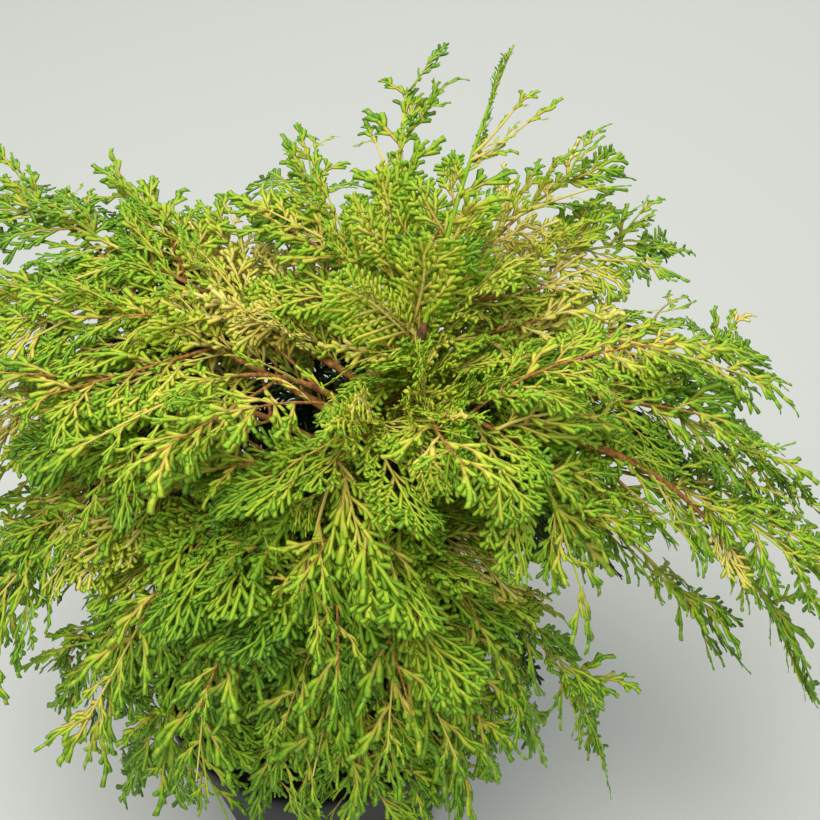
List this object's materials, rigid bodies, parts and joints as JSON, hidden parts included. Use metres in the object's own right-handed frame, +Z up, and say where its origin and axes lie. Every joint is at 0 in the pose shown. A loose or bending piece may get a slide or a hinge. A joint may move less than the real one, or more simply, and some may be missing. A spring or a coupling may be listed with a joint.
{
  "type": "dwarf hinoki cypress in a pot",
  "caption": "Dwarf hinoki cypress with arching, drooping fan sprays of gold and green foliage, in a plain black nursery pot.",
  "frame": {"origin": "centre of the flat underside of the pot", "axes": "+Z up, +X to the right and +Y away from whoever looks at the front of the plant, as in the picture"},
  "size_m": [0.3943, 0.2284, 0.3858],
  "materials": {
    "pot_plastic": "satin black moulded plastic",
    "peat": "damp dark crumbly peat",
    "bark": "rough reddish-brown bark",
    "young_bark": "orange-brown young bark",
    "foliage_gold": "cream and gold scale leaves of the inner sprays",
    "foliage_lime": "lime-green scale leaves",
    "foliage_green": "mid-green scale leaves"
  },
  "bodies": {
    "root": {"pot": "pot_plastic", "potting_peat": "peat", "trunk": "bark", "bough_rear_high": "young_bark", "bough_rear_right_high": "young_bark", "bough_rear_mid_high": "young_bark", "bough_rear_left_high": "young_bark", "bough_left_high": "young_bark", "bough_right_high": "young_bark", "bough_upper_front": "young_bark", "bough_upper_left": "young_bark", "bough_upper_right": "young_bark", "bough_left_mid_high": "young_bark", "bough_right_upper": "young_bark", "bough_left_upper": "young_bark", "bough_front_left": "young_bark", "bough_right_mid": "young_bark", "bough_front_right": "young_bark", "bough_left_front": "young_bark", "bough_arm": "young_bark", "bough_left": "young_bark", "bough_front": "young_bark", "bough_arm_hanging": "young_bark", "bough_rear_low_mid": "young_bark", "bough_left_front_low": "young_bark", "bough_right_front": "young_bark", "bough_rear_low_right": "young_bark", "bough_rear_low_left": "young_bark", "bough_right_hanging": "young_bark", "bough_rear_low": "young_bark", "bough_right_low": "young_bark", "foliage_leader": "foliage_lime", "foliage_rear_high": "foliage_green", "foliage_rear_right_high": "foliage_green", "foliage_rear_mid_high": "foliage_lime", "foliage_rear_left_high": "foliage_green", "foliage_left_high": "foliage_green", "foliage_right_high": "foliage_green", "foliage_upper_front": "foliage_gold", "foliage_upper_left": "foliage_gold", "foliage_upper_right": "foliage_gold", "foliage_left_mid_high": "foliage_lime", "foliage_right_upper": "foliage_green", "foliage_left_upper": "foliage_lime", "foliage_front_left": "foliage_lime", "foliage_right_mid": "foliage_green", "foliage_front_right": "foliage_lime", "foliage_left_front": "foliage_lime", "foliage_arm": "foliage_lime", "foliage_left": "foliage_green", "foliage_front": "foliage_green", "foliage_arm_hanging": "foliage_green", "foliage_rear_low_mid": "foliage_green", "foliage_left_front_low": "foliage_green", "foliage_right_front": "foliage_lime", "foliage_rear_low_right": "foliage_green", "foliage_rear_low_left": "foliage_green", "foliage_right_hanging": "foliage_green", "foliage_rear_low": "foliage_green", "foliage_right_low": "foliage_green"}
  },
  "joints": []
}
